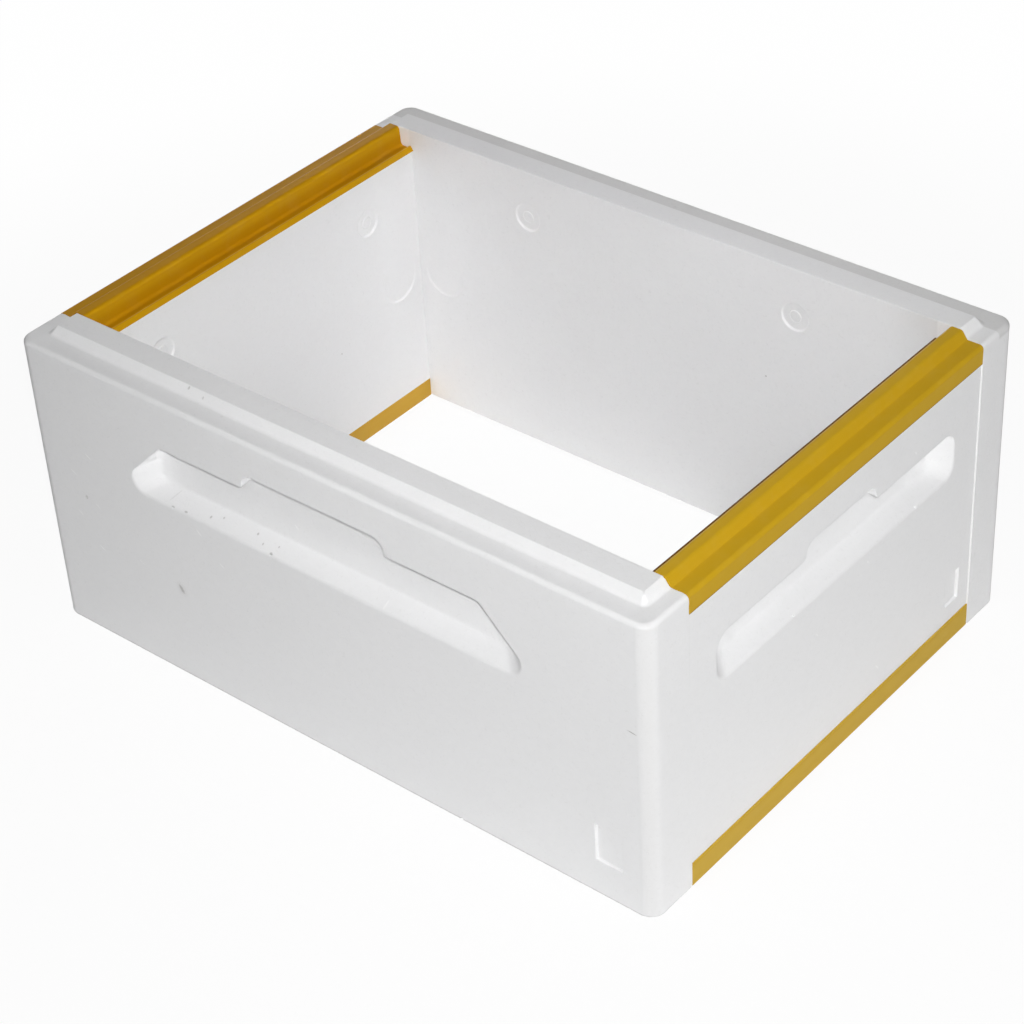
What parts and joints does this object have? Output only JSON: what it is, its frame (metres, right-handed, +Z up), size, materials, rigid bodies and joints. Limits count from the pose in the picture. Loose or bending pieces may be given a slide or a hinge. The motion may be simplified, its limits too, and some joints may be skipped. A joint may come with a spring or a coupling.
{
  "type": "beehive super",
  "caption": "Open foam hive box with stepped rim, scooped hand grips on every side and plastic rails on the end walls that carry the lugs of comb frames.",
  "frame": {"origin": "middle of the underside, on the surface the box stands on", "axes": "+X along the long walls, +Y from the front wall to the back wall, +Z up"},
  "size_m": [0.537, 0.405, 0.241],
  "materials": {
    "foam": "matte",
    "rail_plastic": "satin",
    "glue": "satin"
  },
  "bodies": {
    "root": {"front_wall": "foam", "back_wall": "foam", "left_end_wall": "foam", "right_end_wall": "foam", "left_top_rail": "rail_plastic", "right_top_rail": "rail_plastic", "left_bottom_rail": "rail_plastic", "right_bottom_rail": "rail_plastic", "front_left_glue": "glue", "front_right_glue": "glue", "back_left_glue": "glue", "back_right_glue": "glue"}
  },
  "joints": []
}
